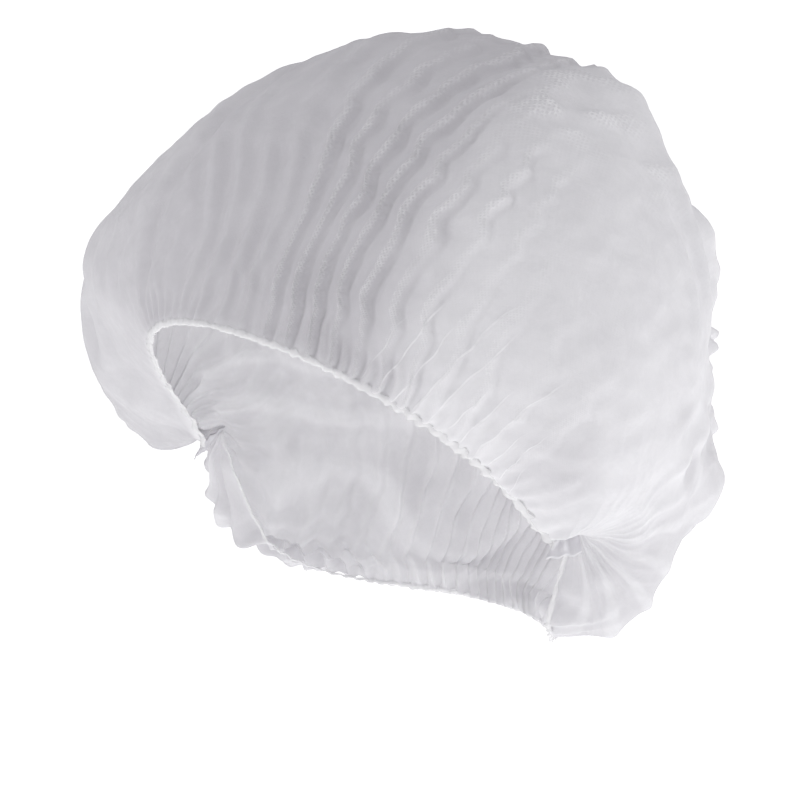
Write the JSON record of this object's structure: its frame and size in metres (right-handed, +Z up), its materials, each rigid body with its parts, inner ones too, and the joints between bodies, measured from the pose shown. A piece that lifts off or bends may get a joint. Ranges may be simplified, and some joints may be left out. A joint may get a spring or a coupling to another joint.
{
  "type": "disposable hair cover cap",
  "caption": "White pleated nonwoven bouffant cap in its worn shape, gathered between a front and a back elastic hem that meet in a pinched heat-sealed tab at each ear.",
  "frame": {"origin": "middle of the opening that the head goes into, at ear height", "axes": "+Z up towards the top of the crown, -Y towards the wearer's face, +X towards the wearer's left ear"},
  "size_m": [0.2467, 0.1977, 0.2128],
  "materials": {
    "nonwoven_sheet": "thin white point-bonded polypropylene nonwoven, matt, slightly see-through",
    "hem": "white nonwoven rolled over a thin elastic and gathered, matt and fluffy",
    "heat_seal": "nonwoven pressed and melted into a stiffer crimped tab, faintly glossy"
  },
  "bodies": {
    "root": {"crown": "nonwoven_sheet", "front_elastic_hem": "hem", "back_elastic_hem": "hem", "seal_tab_left": "heat_seal", "seal_tab_right": "heat_seal"}
  },
  "joints": []
}
